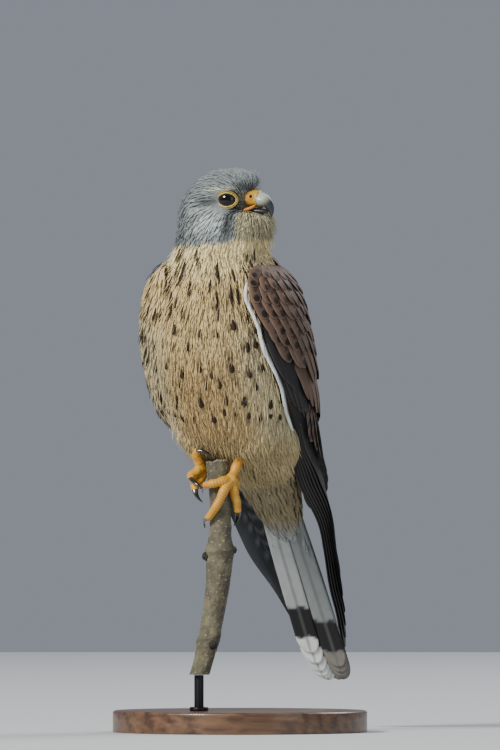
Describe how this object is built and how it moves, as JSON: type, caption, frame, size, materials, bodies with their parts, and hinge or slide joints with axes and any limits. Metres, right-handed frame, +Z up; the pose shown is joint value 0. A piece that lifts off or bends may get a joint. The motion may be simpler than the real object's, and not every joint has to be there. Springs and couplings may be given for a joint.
{
  "type": "common kestrel model",
  "caption": "Life-size still model of an adult male common kestrel perched on the cut end of an upright stick, on a plain display stand.",
  "frame": {"origin": "the middle of the underside of the stand's base, on the floor", "axes": "+Z up along the perch, -Y towards the viewer of the picture, +X to that viewer's right; the bird's breast faces -Y turned 25 degrees to -X"},
  "size_m": [0.14, 0.1824, 0.3096],
  "materials": {
    "hood": "blue-grey head feathers with fine dark shaft streaks, paler on the cheek",
    "breast": "warm buff body feathers with dark brown streaks and drop-shaped spots",
    "wing": "rufous-brown coverts with black spots and blackish flight feathers",
    "tail": "grey tail feathers with a black band and white tips",
    "skin": "orange-yellow bare skin of cere and scaled feet",
    "bill": "blue-grey horn, darker at the tip",
    "claw": "glossy black horn",
    "eye": "wet dark brown, nearly black",
    "bark": "grey-brown bark with small pale pores",
    "rod": "dark satin metal",
    "base": "dark stained wood, satin"
  },
  "bodies": {
    "root": {"head": "hood", "neck": "breast", "torso": "breast", "tail": "tail", "eye_left": "eye", "eye_right": "eye", "cere": "skin", "bill_upper": "bill", "bill_lower": "bill", "wing_left": "wing", "wing_right": "wing", "thigh_left": "breast", "thigh_right": "breast", "foot_left": "skin", "foot_right": "skin", "claw_inner_left": "claw", "claw_middle_left": "claw", "claw_outer_left": "claw", "claw_hind_left": "claw", "claw_inner_right": "claw", "claw_middle_right": "claw", "claw_outer_right": "claw", "claw_hind_right": "claw", "perch_stick": "bark", "stand_rod": "rod", "stand_base": "base"}
  },
  "joints": []
}
